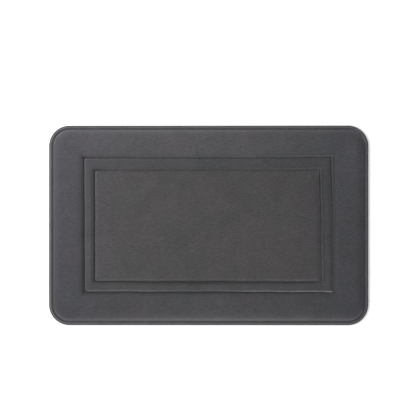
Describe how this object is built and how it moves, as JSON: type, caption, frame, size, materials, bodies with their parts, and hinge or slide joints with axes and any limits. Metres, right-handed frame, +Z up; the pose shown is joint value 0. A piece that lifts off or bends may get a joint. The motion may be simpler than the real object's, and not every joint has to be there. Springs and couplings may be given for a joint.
{
  "type": "bath mat",
  "caption": "Rectangular memory-foam bath mat with rounded corners, a plush cover sewn down in two nested channels, a bound edge and a dotted non-slip underside.",
  "frame": {"origin": "middle of the footprint, on the floor that the mat lies on", "axes": "+Z up through the mat's thickness, +X along its length, +Y across its width"},
  "size_m": [0.8128, 0.508, 0.0162],
  "materials": {
    "plush_cover": "short dense microfibre plush, charcoal grey",
    "memory_foam": "open-cell polyurethane memory foam, cream",
    "grip_backing": "coated knit with fused soft vinyl dots, dark grey",
    "binding_tape": "folded brushed polyester tape, charcoal grey",
    "sewing_thread": "spun polyester sewing thread, charcoal grey",
    "label_ribbon": "blank white satin ribbon"
  },
  "bodies": {
    "mat": {"top_cover": "plush_cover", "foam_core": "memory_foam", "dotted_backing": "grip_backing", "edge_binding": "binding_tape", "binding_needle_thread": "sewing_thread", "binding_bobbin_thread": "sewing_thread", "outer_channel_needle_thread": "sewing_thread", "outer_channel_bobbin_thread": "sewing_thread", "inner_channel_needle_thread": "sewing_thread", "inner_channel_bobbin_thread": "sewing_thread"},
    "label": {"care_label": "label_ribbon"}
  },
  "joints": [
    {"name": "label_flap", "type": "hinge", "parent": "mat", "child": "label", "pos_m": [0.25, -0.2422, 0.0009], "axis": [-1, 0, 0], "range_deg": [0, 120]}
  ]
}
